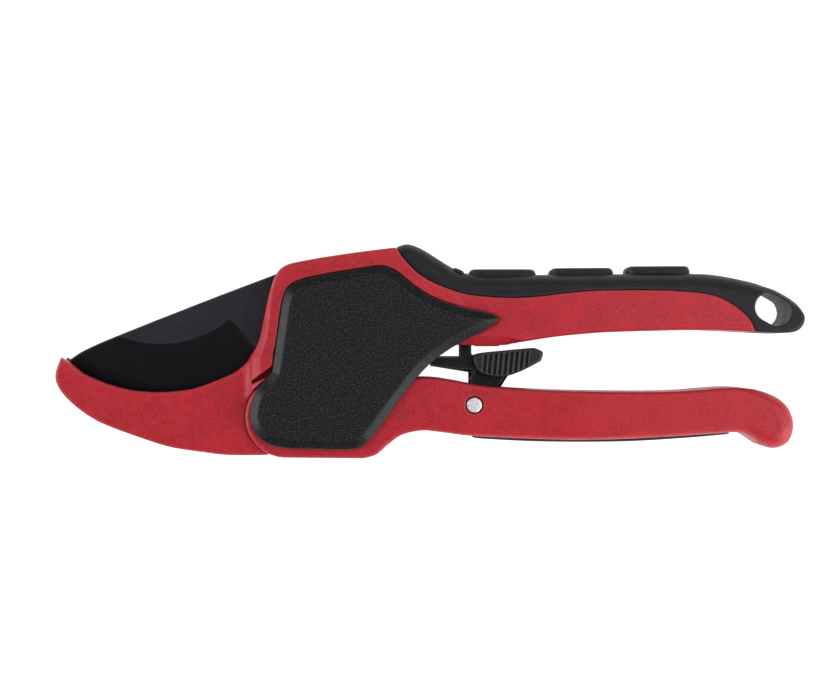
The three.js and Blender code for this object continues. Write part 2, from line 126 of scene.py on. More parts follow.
# ---------------------------------------------------------------- outlines
def curve(points, divisions=5):
    """A smooth line through some points, without the first of them."""
    p = np.array([points[0], *points, points[-1]], float)
    t = np.linspace(0, 1, divisions + 1)[1:, None]
    line = []
    for a, b, c, d in zip(p, p[1:], p[2:], p[3:]):
        leave, arrive = (c - a) / 2, (d - b) / 2
        line += list((2 * b - 2 * c + leave + arrive) * t**3
                     + (3 * c - 3 * b - 2 * leave - arrive) * t**2 + leave * t + b)
    return line


def outline(*steps):
    """A closed outline. A step is a point, for a straight line, or a list, for a smooth one."""
    path = []
    for step in steps:
        path += curve([path[-1], *step]) if isinstance(step, list) else [step]
    return np.array(path, float)


def arc(centre, radius, start, end, steps=24):
    turns = np.radians(np.linspace(start, end, steps + 1))
    return [(centre[0] + radius * math.cos(t), centre[1] + radius * math.sin(t)) for t in turns]


def turned(points, centre, degrees):
    c, s = math.cos(math.radians(degrees)), math.sin(math.radians(degrees))
    return (points - centre) @ np.array([[c, s], [-s, c]]) + centre


JAW = outline(
    (-63.9, 2.4), (-61.6, 0.9),
    [(-58, -1.9), (-55.8, -3), (-51.4, -4.8), (-46.9, -6.1), (-42.5, -6.9), (-36, -7.2),
     (-29.1, -6.6), (-24.7, -5.5), (-20.2, -3.8), (-15.8, -1.9), (-13, 0), (-10.2, 2.6)],
    (-6, 6), (6, -8), (-3.65, -22.6), (-4, -24.6),
    [(-9.1, -24.8), (-18, -24.7), (-24.7, -23.9), (-33.6, -22.5), (-42.5, -19.7), (-51.4, -16.4),
     (-55.8, -14.1), (-60.3, -10.8), (-64.2, -6.6), (-65.5, -2.5), (-63.9, 2.4)],
)
HEAD = outline(
    (-10.2, 2.6),
    [(-8.2, 8.4), (-6.4, 16.5), (-4.3, 24), (-1.6, 27.6), (4.5, 29.3), (17.8, 31.4), (29.9, 32.9)],
    (33, 33.5), (44, 24), (50, 12), (44, 6.4), (33, 3.6), (14.2, -7.8), (-10.4, -7.8),
)
WALL = outline(
    (-24, -9), (-10.4, 2.4), (8, 8), (33, 3.6), (24, -2), (14.2, -7.8), (7, -10.6),
    *arc(PIVOT, 8.4, 10, -100), (-9, -24), (-22, -23.5),
)
WEDGE = outline((-4, 0.6), (-10.7, -4.3), (-10.3, -4.9), (-4, -1.9))
COVER = outline(
    (-4.7, -1.4), (-2, 17.2),
    [(-0.9, 20.8), (1.4, 23), (4.7, 24.2)], (11.3, 25.6), (21, 27.1),
    [(25.4, 27.6), (29.2, 26.3), (34.6, 22), (40.6, 18.5), (48.6, 16), (54.4, 14.9), (57.1, 13.7),
     (57.75, 12.8), (56.2, 11.5), (52.4, 9.2)],
    [(44.2, 4.8), (37.6, -0.4), (31, -8.4), (23.4, -18.8), (21.2, -21.2), (18.8, -22.6),
     (15.4, -23)], (0.4, -22.7),
    [(-5.4, -21.6), (-9.4, -18.4), (-10.8, -13), (-9.3, -7), (-6.4, -3.7), (-4.7, -1.4)],
)
GRIP_REGION = outline(
    (28.6, 34), (31, 30.3),
    [(35.1, 26), (39.8, 23.1), (45, 21.1), (50.4, 19.8), (59.6, 19), (68, 19.3), (77.3, 20.4),
     (86.1, 21), (99.3, 21.1), (108, 20.8), (114.7, 20.1), (119.1, 18.8), (123.5, 16.1),
     (126.8, 13), (128.4, 9.6)],
    (129, 0), (160, 0), (160, 50), (28.6, 50),
)
UPPER_HANDLE = outline(
    (29.2, 33.1), [(32.4, 34), (36, 32.9), (40, 30.5), (44.3, 27.8), (48, 26), (54, 25.3)],
    (110, 25.8),
    [(117.8, 25.4), (126.7, 23.7), (131.1, 22.4), (135.6, 20.7), (140, 17.6), (142.2, 13.6),
     (141, 10.4), (137.6, 9.2), (129.2, 9.4), (120, 9.9), (111.1, 10.1), (91.1, 9.6), (82.2, 9),
     (73.3, 8.1), (64.4, 6.7), (57.7, 5.35), (51, 5.3), (42.9, 5.9)],
    (30, 8), (16, 20),
)
CATCH_CHANNEL = outline(
    (40.4, -4), (40.4, 12), [(42, 13.6), (48, 14.8), (60, 15)], (110, 16.2),
    [(116, 15.2), (118.5, 12)], (118.5, -4),
)
GRIP_RIB = outline(
    (34, 24), [(38, 25.6), (46, 23), (54, 22.6)], (108, 23.2), [(118, 21.8), (125, 18.4)],
    (123, 14), (34, 14),
)
LOWER_HANDLE = outline(
    (6, -4), (12, -5),
    [(26, -3.4), (37.6, -3), (44.3, -3.8), (51, -5), (57.6, -5.8), (70.9, -6.6), (88.7, -7),
     (106.4, -6.9), (119.8, -5.9), (126, -6), (131, -7), (135.8, -9.2), (139, -12.9),
     (139.8, -17), (138.4, -21), (134.8, -22.8), (131, -22), (127.4, -19.6), (124, -18.3),
     (115.3, -18.8), (97.6, -19.9), (82, -20.4), (68.7, -20.2), (51, -19.4), (42.1, -18.3),
     (36.5, -17.8), (31, -19), (27, -21.8), (24, -24.4), (20.4, -25.5)],
    (10, -25.4), *arc(PIVOT, CHEEK_RADIUS, -92, -264, 60),
)
CHEEK = outline(
    (6, -4), (12, -5), (26, -3.5), (37.6, -3), (60, -6), (60, -18), (36.5, -17.8), (31, -19),
    (24, -24.4), (20.4, -25.5), (10, -25.4), *arc(PIVOT, CHEEK_RADIUS, -92, -264, 60),
)
HEEL_FLOOR = outline((1.5, -23.3), (19.6, -23.3), (21, -30), (1.5, -30))
LOWER_CHANNEL = outline(
    (-18, 4), (-18, -32), (1.5, -32), (1.5, -23.3), (19.6, -23.3), (21, -32), (35, -32),
    (35, -15.4), (45, -15.2), [(56, -15), (62.5, -13.6), (65.4, -9.6), (66, 0)], (66, 4),
)
LOWER_GRIP_SEAT = outline(
    (50, -30), (50, -17.2), [(66, -17.6), (82, -17.8), (97, -17.4), (122, -15.9)], (123, -30),
)
LOWER_GRIP = outline(
    (50.4, -19.8), (50.4, -17.6), [(66, -18), (82, -18.2), (97, -17.8), (121.7, -16.3)],
    (122, -18.9), [(113.5, -19.7), (97, -20.8), (82.3, -21.1), (66.7, -20.9), (53.3, -20.2),
                   (50.4, -19.8)],
)
BLADE = outline(
    (-63.1, 1.4), [(-59, 4.1), (-53.2, 6.8)], (-38.5, 12.7), (-20.6, 19.7), (-3.4, 26.2),
    (-1.6, 25), (4.4, 10.4),
    [(8, 5.4), (13, 0), (20, -4.2), (27.6, -6.6), (32.8, -10.6), (32.4, -16.2), (27.4, -18.7),
     (20, -17)],
    (10, -9.4), [(5.6, -4.2), (0, -4.8), (-6, -4)], (-12.6, -3),
    *arc(EDGE_CENTRE, EDGE_RADIUS, -58, -124.8, 90),
)
TANG_ROOM = outline(
    (-66, 26.4), (-3.3, 26.4), (-1.4, 25.2), (4.4, 10.6), (8, 5.6), (13, 0.2), (20, -4),
    (27.6, -6.4), (33, -10.6), (32.6, -16.4), (27.4, -18.9), (20, -17.2), (10, -9.6),
    [(5.6, -4.4), (0, -5), (-6, -4.6)], (-12, -4.4), (-16, -4.6), (-38, -6.4), (-56, -2.4),
    (-66, -1),
)
CATCH = outline(
    (47.5, -10.8), *arc(RIVET, 3.6, 180, 360), (59, -5.4), (61.6, -1.3), (66, 1.4), (66, 3.4),
    (52.6, 2.2), (50.4, 3.4), (50.4, 12), (49.6, 12.9), (46.7, 12.9), (45.1, 11.6), (45.1, 11),
    (46.9, 11), (46.9, 2.8), (39.6, 2.8), (38.8, 2), (38.8, 0), (49.5, -1.7), (49.5, -5.2),
)
PAD = outline(
    (50.7, 1.5), [(51.8, 3.4), (60, 4.4), (67.6, 5.1)], [(70, 3.9), (69.5, 1.5)],
    [(66, -0.4), (62.9, -1.8), (59.4, -2.8), (55.5, -2.6), (52.2, -1.4), (50.7, 1.5)],
)
GRIP_PADS = [  # the middle line of each raised pad of the grip, and its radius
    ([(45.7, 26.8), (47.7, 26)], 0.55), ([(51, 25.5), (66.9, 25.5)], 1.5),
    ([(73.6, 25.8), (88.5, 25.9)], 1.5), ([(94.8, 26.3), (109.9, 26.4)], 1.5),
]


def pin_in_blade(degrees):
    """Where the drive pin is in the blade's own frame, with the handle opened by some degrees."""
    place = turned(np.array([DRIVE]), PIVOT, -degrees)
    share = BLADE_TRAVEL / HANDLE_TRAVEL
    return tuple(turned(place, BLADE_PIVOT, degrees * share)[0])


CAM_PATH = [pin_in_blade(turn) for turn in np.linspace(0, HANDLE_TRAVEL, 7)]
COIL_RELIEF = turned(np.array([PIVOT]), BLADE_PIVOT, BLADE_TRAVEL)[0]  # the open coil's place
COIL_ROOM = 6.2  # the return spring's radius with clearance


# ---------------------------------------------------------------- fields of distances
def smoothstep(value, start, end):
    t = np.clip((value - start) / (end - start), 0, 1)
    return t * t * (3 - 2 * t)


def join(a, b, soft=0.01):
    mix = np.maximum(soft - np.abs(a - b), 0)
    return np.minimum(a, b) - mix * mix / (4 * soft)


def cut(a, b, soft=0.3):
    return -join(-a, b, soft)


def both(a, b, soft=0.3):
    return -join(-a, -b, soft)


def rounded(side, face, edge):
    """Solid where both distances are negative, with the corner between them rounded."""
    a, b = side + edge, face + edge
    corner = np.hypot(np.maximum(a, 0), np.maximum(b, 0))
    return np.minimum(np.maximum(a, b), 0) + corner - edge


def bevelled(side, face, leg, soft=0.35):
    """The same with a flat bevel, whose legs may differ from place to place."""
    return both(both(side, face, soft), (side + face + leg) / math.sqrt(2), soft)


class Space:
    """The grid of points that a piece is measured on, a little larger than a CAD node."""

    def __init__(self, node, step, margin=1.2):
        low, high = span(node)
        self.step = np.array(step, float) * np.ones(3) * FINE
        self.low = low - margin
        counts = np.ceil((high - low + 2 * margin) / self.step).astype(int) + 1
        self.x, self.y, self.z = np.meshgrid(
            *[(start + gap * np.arange(count)).astype(np.float32)
              for start, gap, count in zip(self.low, self.step, counts)],
            indexing="ij", sparse=True)

    def flat(self, points):
        """Distance from an outline, negative inside it."""
        x, y = self.x, self.y
        nearest = np.full(np.broadcast(x, y).shape, 1e9, np.float32)
        inside = np.zeros(nearest.shape, bool)
        for (ax, ay), (bx, by) in zip(points, np.roll(points, -1, axis=0)):
            dx, dy = bx - ax, by - ay
            length = dx * dx + dy * dy
            if length < 1e-9:
                continue
            t = np.clip(((x - ax) * dx + (y - ay) * dy) / length, 0, 1)
            nearest = np.minimum(nearest, (x - ax - t * dx) ** 2 + (y - ay - t * dy) ** 2)
            if dy:
                inside ^= ((ay > y) != (by > y)) & (x < ax + (y - ay) * dx / dy)
        return np.sqrt(nearest) * np.where(inside, -1, 1).astype(np.float32)

    def along(self, path, radius):
        """Distance from a slot or bar of even width that follows a path."""
        nearest = np.float32(1e9)
        for (ax, ay), (bx, by) in zip(path, path[1:]):
            dx, dy = bx - ax, by - ay
            t = np.clip(((self.x - ax) * dx + (self.y - ay) * dy) / (dx * dx + dy * dy), 0, 1)
            nearest = np.minimum(nearest, np.hypot(self.x - ax - t * dx, self.y - ay - t * dy))
        return nearest - radius

    def round(self, centre, radius):
        return np.hypot(self.x - centre[0], self.y - centre[1]) - radius

    def hexagon(self, centre, radius):
        """Distance from a hexagon with that radius to its flat sides."""
        turns = np.radians([30, 90, 150])
        across = [np.abs((self.x - centre[0]) * math.cos(t) + (self.y - centre[1]) * math.sin(t))
                  for t in turns]
        return np.maximum.reduce(across) - radius

    def between(self, low, high):
        return np.abs(self.z - (low + high) / 2) - (high - low) / 2

    def plate(self, side, low, high, edge=0.0):
        return rounded(side, self.between(low, high), edge)

    def pin(self, centre, radius, low, high, edge=0.0):
        return self.plate(self.round(centre, radius), low, high, edge)

    def swept(self, points, centre, degrees, steps=9):
        """Everything that an outline passes over while it turns clockwise."""
        turns = np.linspace(0, degrees, steps)
        return np.minimum.reduce([self.flat(turned(points, centre, -t)) for t in turns])


# ---------------------------------------------------------------- from fields to meshes
CORNERS = np.array([(a, b, c) for a in (0, 1) for b in (0, 1) for c in (0, 1)])
EDGES = [(a, b) for a in range(8) for b in range(a + 1, 8)
         if np.abs(CORNERS[a] - CORNERS[b]).sum() == 1]


def sampled(field, place):
    """The field between its points, at places counted in grid steps."""
    limit = np.array(field.shape) - 1.001
    place = np.clip(place, 0, limit)
    base = place.astype(int)
    part = place - base
    total = np.zeros(len(place), np.float32)
    for corner in CORNERS:
        weight = np.prod(np.where(corner, part, 1 - part), axis=1)
        total += weight * field[tuple((base + corner).T)]
    return total


def net(field):
    """Points and quads of the surface where a field crosses zero, in grid steps."""
    solid = field < 0
    cells = tuple(n - 1 for n in field.shape)
    count = np.zeros(cells, np.int8)
    for a, b, c in CORNERS:
        count += solid[a:a + cells[0], b:b + cells[1], c:c + cells[2]]
    base = np.argwhere((count > 0) & (count < 8))
    values = np.stack([field[tuple((base + corner).T)] for corner in CORNERS], axis=1)
    total, hits = np.zeros((len(base), 3)), np.zeros((len(base), 1))
    for a, b in EDGES:
        crossed = (values[:, a] < 0) != (values[:, b] < 0)
        rest = np.where(crossed, values[:, a] - values[:, b], 1)
        place = CORNERS[a] + (values[:, a] / rest)[:, None] * (CORNERS[b] - CORNERS[a])
        total += np.where(crossed[:, None], place, 0)
        hits += crossed[:, None]
    points = base + total / hits
    number = np.full(cells, -1, np.int32)
    number[tuple(base.T)] = np.arange(len(base))
    quads = []
    for axis in range(3):
        u, v = (axis + 1) % 3, (axis + 2) % 3
        first = np.take(solid, range(field.shape[axis] - 1), axis)
        second = np.take(solid, range(1, field.shape[axis]), axis)
        spots = np.argwhere(first != second)
        spots = spots[(spots[:, u] > 0) & (spots[:, v] > 0)]
        spots = spots[(spots[:, u] < cells[u]) & (spots[:, v] < cells[v])]
        leaving = first[tuple(spots.T)]
        ring = []
        for du, dv in ((1, 1), (0, 1), (0, 0), (1, 0)):
            cell = spots.copy()
            cell[:, u] -= du
            cell[:, v] -= dv
            ring.append(number[tuple(cell.T)])
        ring = np.stack(ring, axis=1)
        ring[~leaving] = ring[~leaving][:, ::-1]
        quads.append(ring)
    return points, np.concatenate(quads)


def thinned(piece, share):
    """Joins the smallest details of a mesh, mostly where it is flat."""
    modifier = piece.modifiers.new("thinned", "DECIMATE")
    modifier.ratio = share
    evaluated = piece.evaluated_get(bpy.context.evaluated_depsgraph_get())
    mesh = bpy.data.meshes.new_from_object(evaluated)
    piece.modifiers.clear()
    piece.data = mesh


def dress(piece, body, finish, nodes):
    piece.data.materials.clear()
    piece.data.materials.append(finish)
    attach(piece, body)
    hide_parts(*nodes)
    return piece


def surface(name, space, field, share):
    """The mesh of a field, with smooth normals and how sharply each point is curved."""
    field = np.ascontiguousarray(np.broadcast_to(field, (
        space.x.size, space.y.size, space.z.size)), np.float32)
    points, quads = net(field)
    mesh = bpy.data.meshes.new(name)
    mesh.from_pydata((points * space.step + space.low - ORIGIN) * MM, [], quads.tolist())
    piece = bpy.data.objects.new(name, mesh)
    bpy.context.collection.objects.link(piece)
    thinned(piece, share)
    mesh = piece.data
    mesh.name = name
    places = np.empty(len(mesh.vertices) * 3, np.float32)
    mesh.vertices.foreach_get("co", places)
    places = ((places.reshape(-1, 3) / MM + ORIGIN) - space.low) / space.step
    here, normals, bend = sampled(field, places), [], 0
    for axis in range(3):
        reach = np.zeros(3)
        reach[axis] = 0.8
        ahead, behind = sampled(field, places + reach), sampled(field, places - reach)
        normals.append((ahead - behind) / space.step[axis])
        bend = bend + (ahead + behind - 2 * here) / (0.8 * space.step[axis]) ** 2
    normals = np.stack(normals, axis=1)
    normals /= np.maximum(np.linalg.norm(normals, axis=1, keepdims=True), 1e-6)
    mesh.shade_smooth()
    mesh.normals_split_custom_set_from_vertices(normals)
    curved = mesh.attributes.new("curved", "FLOAT", "POINT")
    curved.data.foreach_set("value", np.clip(bend, -2, 2).astype(np.float32))
    return piece


def tube(name, points, radius, sides=14):
    """A wire of round section along some points, closed at its ends."""
    line = np.array(curve([points[0], *points], 2))
    heading = np.gradient(line, axis=0)
    heading /= np.linalg.norm(heading, axis=1, keepdims=True)
    across = np.cross(heading, (0, 0, 1))
    across /= np.linalg.norm(across, axis=1, keepdims=True)
    rise = np.cross(across, heading)
    turns = np.linspace(0, 2 * math.pi, sides, endpoint=False)
    rings = [line + radius * (math.cos(t) * across + math.sin(t) * rise) for t in turns]
    verts = np.stack(rings, axis=1).reshape(-1, 3)
    faces = [list(range(sides))[::-1], list(range(len(verts) - sides, len(verts)))]
    for k in range(len(line) - 1):
        for side in range(sides):
            after = (side + 1) % sides
            faces.append([k * sides + side, k * sides + after,
                          (k + 1) * sides + after, (k + 1) * sides + side])
    mesh = bpy.data.meshes.new(name)
    mesh.from_pydata(((verts - ORIGIN) * MM).tolist(), [], faces)
    mesh.shade_smooth()
    piece = bpy.data.objects.new(name, mesh)
    bpy.context.collection.objects.link(piece)
    return piece


# ---------------------------------------------------------------- finishes
class Finish:
    """A material made of nodes, on the piece's own coordinates in metres."""

    def __init__(self, name, metallic=0.0, specular=0.5):
        self.material = bpy.data.materials.new(name)
        self.material.use_nodes = True
        self.nodes = self.material.node_tree.nodes
        self.links = self.material.node_tree.links
        self.shader = self.nodes["Principled BSDF"]
        self.shader.inputs["Metallic"].default_value = metallic
        self.shader.inputs["Specular IOR Level"].default_value = specular
        self.place = self.nodes.new("ShaderNodeTexCoord")

    def link(self, source, target):
        self.links.new(source, target)

    def noise(self, size, detail=2.0, stretch=(1, 1, 1)):
        """Noise whose features are about size millimetres wide."""
        mapping = self.nodes.new("ShaderNodeMapping")
        mapping.inputs["Scale"].default_value = stretch
        self.link(self.place.outputs["Object"], mapping.inputs["Vector"])
        texture = self.nodes.new("ShaderNodeTexNoise")
        texture.inputs["Scale"].default_value = 1 / (size * MM)
        texture.inputs["Detail"].default_value = detail
        self.link(mapping.outputs["Vector"], texture.inputs["Vector"])
        return texture.outputs["Fac"]

    def attribute(self, name):
        node = self.nodes.new("ShaderNodeAttribute")
        node.attribute_name = name
        return node.outputs["Fac"]

    def spread(self, value, start, end, low=0.0, high=1.0):
        """Maps start..end smoothly onto low..high."""
        node = self.nodes.new("ShaderNodeMapRange")
        node.interpolation_type = "SMOOTHSTEP"
        for name, number in (("From Min", start), ("From Max", end),
                             ("To Min", low), ("To Max", high)):
            node.inputs[name].default_value = number
        self.link(value, node.inputs["Value"])
        return node.outputs["Result"]

    def math(self, operation, first, second=None):
        node = self.nodes.new("ShaderNodeMath")
        node.operation = operation
        for socket, value in zip(node.inputs, (first, second)):
            if isinstance(value, (int, float)):
                socket.default_value = value
            elif value is not None:
                self.link(value, socket)
        return node.outputs["Value"]

    def mix(self, share, first, second):
        node = self.nodes.new("ShaderNodeMix")
        node.data_type = "RGBA"
        self.link(share, node.inputs["Factor"])
        for socket, value in ((node.inputs["A"], first), (node.inputs["B"], second)):
            socket = [s for s in node.inputs if s.name == socket.name and s.type == "RGBA"][0]
            if isinstance(value, tuple):
                socket.default_value = (*value, 1)
            else:
                self.link(value, socket)
        return [s for s in node.outputs if s.type == "RGBA"][0]

    def color(self, source):
        self.link(source, self.shader.inputs["Base Color"])

    def roughness(self, source):
        self.link(source, self.shader.inputs["Roughness"])

    def bump(self, *layers):
        """Raises the surface by layers of (height from 0 to 1, depth in millimetres)."""
        normal = None
        for height, depth in layers:
            node = self.nodes.new("ShaderNodeBump")
            node.inputs["Distance"].default_value = depth * MM
            self.link(height, node.inputs["Height"])
            if normal:
                self.link(normal, node.inputs["Normal"])
            normal = node.outputs["Normal"]
        self.link(normal, self.shader.inputs["Normal"])


def shade(color, factor):
    return tuple(channel * factor for channel in color)


def red_paint(name, color):
    """Satin powder coat: faint mottling, orange peel, lighter where edges rub, and painted shade that
    darkens its creases and hollows.
    """
    finish = Finish(name, specular=0.42)
    cloud = finish.spread(finish.noise(7, 4), 0.32, 0.68)
    tone = finish.mix(cloud, shade(color, 0.88), shade(color, 1.07))
    fleck = finish.spread(finish.noise(0.65, 4), 0.4, 0.66, 0, 0.7)
    tone = finish.mix(fleck, tone, shade(color, 1.38))
    lightened_edges = finish.spread(finish.attribute("curved"), 0.35, 1.6, 0, 0.3)
    tone = finish.mix(lightened_edges, tone, tuple(0.8 * c + 0.07 for c in color))
    # painted shade: concave creases and hollows darkened towards 0.45 of the paint colour
    painted_crease_shade = finish.spread(finish.attribute("curved"), -0.3, -1.5, 0, 0.35)
    finish.color(finish.mix(painted_crease_shade, tone, shade(color, 0.45)))
    finish.roughness(finish.spread(finish.noise(2.2, 3), 0.3, 0.7, 0.4, 0.54))
    finish.bump((finish.noise(0.9, 3), 0.035), (finish.noise(0.22, 2), 0.008))
    return finish.material


def soft_rubber():
    """Over-moulded elastomer: matte and finely grained, with a painted highlight that lightens its
    convex edges.
    """
    finish = Finish("soft_rubber", specular=0.32)
    tone = finish.mix(finish.spread(finish.noise(6, 3), 0.3, 0.7),
                      (0.0045, 0.0034, 0.0064), (0.0085, 0.0066, 0.011))
    # painted highlight: convex edges and pad crests lightened towards grey
    lightened_edges = finish.spread(finish.attribute("curved"), 0.3, 1.5, 0, 0.5)
    finish.color(finish.mix(lightened_edges, tone, (0.03, 0.029, 0.032)))
    finish.roughness(finish.spread(finish.noise(3.5, 3), 0.3, 0.7, 0.47, 0.6))
    finish.shader.inputs["Sheen Weight"].default_value = 0.03
    finish.bump((finish.noise(0.3, 3), 0.03), (finish.noise(1.4, 2), 0.015))
    return finish.material


def eroded_plastic():
    """The covers: a coarse spark-eroded grain on the face, finer on the sloped edge."""
    finish = Finish("eroded_plastic", specular=0.27)
    split = finish.nodes.new("ShaderNodeSeparateXYZ")
    finish.link(finish.place.outputs["Normal"], split.inputs["Vector"])
    slope = finish.spread(finish.math("ABSOLUTE", split.outputs["Z"]), 0.97, 0.9)
    grain = finish.noise(0.4, 4)
    speck = finish.spread(grain, 0.5, 0.66)
    face = finish.mix(speck, (0.0014, 0.0013, 0.002), (0.036, 0.034, 0.04))
    edge = finish.mix(speck, (0.002, 0.002, 0.0024), (0.026, 0.026, 0.026))
    tone = finish.mix(slope, face, edge)
    lightened_edges = finish.spread(finish.attribute("curved"), 0.3, 1.2, 0, 0.25)
    finish.color(finish.mix(lightened_edges, tone, (0.06, 0.06, 0.062)))
    finish.roughness(finish.spread(slope, 0, 1, 0.6, 0.36))
    finish.bump((grain, 0.05), (finish.noise(0.14, 2), 0.008))
    return finish.material


def blade_coating():
    """Black low-friction coating: satin on the flats, darker and finely lined where ground."""
    finish = Finish("blade_coating", specular=0.3)
    split = finish.nodes.new("ShaderNodeSeparateXYZ")
    finish.link(finish.place.outputs["Object"], split.inputs["Vector"])
    centre, corner = model_place(*EDGE_CENTRE), model_place(*RUN_OUT)
    across = [finish.math("SUBTRACT", split.outputs[axis], float(centre[k]))
              for k, axis in enumerate("XY")]
    squares = [finish.math("MULTIPLY", value, value) for value in across]
    reach = finish.math("SQRT", finish.math("ADD", *squares))
    ground = finish.spread(reach, (GRIND_RADIUS - 0.06) * MM, (GRIND_RADIUS + 0.06) * MM)
    ahead = [finish.math("MULTIPLY", finish.math("SUBTRACT", split.outputs[axis],
                                                 float(corner[k])), float(RUN_OUT_NORMAL[k]))
             for k, axis in enumerate("XY")]
    inner = finish.spread(finish.math("ADD", *ahead), -0.06 * MM, 0.06 * MM)
    ground = finish.math("MULTIPLY", ground, inner)
    lines = finish.nodes.new("ShaderNodeTexNoise")
    lines.noise_dimensions = "1D"
    lines.inputs["Scale"].default_value = 1 / (0.18 * MM)
    finish.link(reach, lines.inputs["W"])
    cloud = finish.spread(finish.noise(5, 3), 0.3, 0.7)
    flat = finish.mix(cloud, (0.0155, 0.015, 0.0215), (0.021, 0.0205, 0.028))
    bevel = finish.mix(cloud, (0.0004, 0.0006, 0.0018), (0.001, 0.0014, 0.0034))
    tone = finish.mix(ground, flat, bevel)
    lightened_edges = finish.spread(finish.attribute("curved"), 0.5, 1.8, 0, 0.5)
    finish.color(finish.mix(lightened_edges, tone, (0.09, 0.09, 0.095)))
    marks = finish.spread(lines.outputs["Fac"], 0.3, 0.7, 0.3, 0.4)
    smooth = finish.spread(finish.noise(1.2, 3), 0.3, 0.7, 0.36, 0.46)
    finish.roughness(finish.math("MULTIPLY", finish.math("ADD", marks, smooth), 0.5))
    finish.bump((lines.outputs["Fac"], 0.002), (finish.noise(0.5, 2), 0.002))
    return finish.material


def zinc_steel(name, low, high, rough=0.24, stamp=0.0):
    """Bright plated steel with handling marks; a rivet's head is stamped unevenly too."""
    finish = Finish(name, metallic=1.0)
    cloud = finish.spread(finish.noise(0.8, 4), 0.3, 0.7)
    finish.color(finish.mix(cloud, (low, low, low * 1.02), (high, high, high * 1.02)))
    scratch = finish.noise(0.5, 3, (1, 6, 1))
    finish.roughness(finish.spread(scratch, 0.3, 0.7, rough, rough + 0.18))
    finish.bump((scratch, 0.004), (finish.noise(0.7, 3), 0.006 + stamp))
    return finish.material


def black_steel():
    """Coated steel plate, worn to grey along its sheared edges."""
    finish = Finish("black_steel", specular=0.4)
    tone = finish.mix(finish.spread(finish.noise(2.5, 3), 0.3, 0.7),
                      (0.004, 0.004, 0.005), (0.008, 0.008, 0.009))
    lightened_edges = finish.spread(finish.attribute("curved"), 0.5, 1.6, 0, 0.6)
    finish.color(finish.mix(lightened_edges, tone, (0.13, 0.13, 0.135)))
    finish.roughness(finish.spread(finish.noise(1.0, 3), 0.3, 0.7, 0.3, 0.42))
    finish.bump((finish.noise(0.35, 2), 0.006), (finish.noise(2.0, 2), 0.01))
    return finish.material


def black_plastic(name, low, high):
    """Plain moulded plastic or nylon, with lighter crests."""
    finish = Finish(name, specular=0.45)
    tone = finish.mix(finish.spread(finish.noise(1.5, 3), 0.3, 0.7),
                      (low, low, low * 1.1), (high, high, high * 1.1))
    lightened_edges = finish.spread(finish.attribute("curved"), 0.4, 1.6, 0, 0.45)
    finish.color(finish.mix(lightened_edges, tone, (0.05, 0.049, 0.048)))
    finish.roughness(finish.spread(finish.noise(0.9, 3), 0.3, 0.7, 0.42, 0.58))
    finish.bump((finish.noise(0.3, 2), 0.01), (finish.noise(0.1, 2), 0.003))
    return finish.material


# ---------------------------------------------------------------- the two castings and the grips
def handle_form(s):
    """The upper handle with its grip: round shoulders above, a sloped lip below near the head."""
    side = s.flat(UPPER_HANDLE)
    width = np.abs(s.z) / (1 + SWELL * smoothstep(s.x, 52, 80))
    edge = 1.3 + 3.1 * smoothstep(s.y, 13, 21)
    lip = 3.4 * (1 - smoothstep(s.x, 56.5, 67)) * (1 - smoothstep(s.y, 10, 13))
    form = rounded(side, width - HANDLE_HALF, edge)
    inset = HANDLE_HALF - CHANNEL_HALF  # the lip's slope ends at the channel
    slope = (inset * side + lip * (width - HANDLE_HALF + inset)) / np.hypot(inset, lip)
    return both(form, slope, 0.06)


def ring_slot(s, inner, outer, start, end, half):
    """A part of a ring about the centre of the cutting edge."""
    x, y = s.x - EDGE_CENTRE[0], s.y - EDGE_CENTRE[1]
    reach = np.hypot(x, y)
    radial = np.abs(reach - (inner + outer) / 2) - (outer - inner) / 2
    turn = np.abs(np.degrees(np.arctan2(y, x)) - (start + end) / 2) - (end - start) / 2
    return np.maximum(np.maximum(radial, np.radians(turn) * reach), np.abs(s.z) - half)


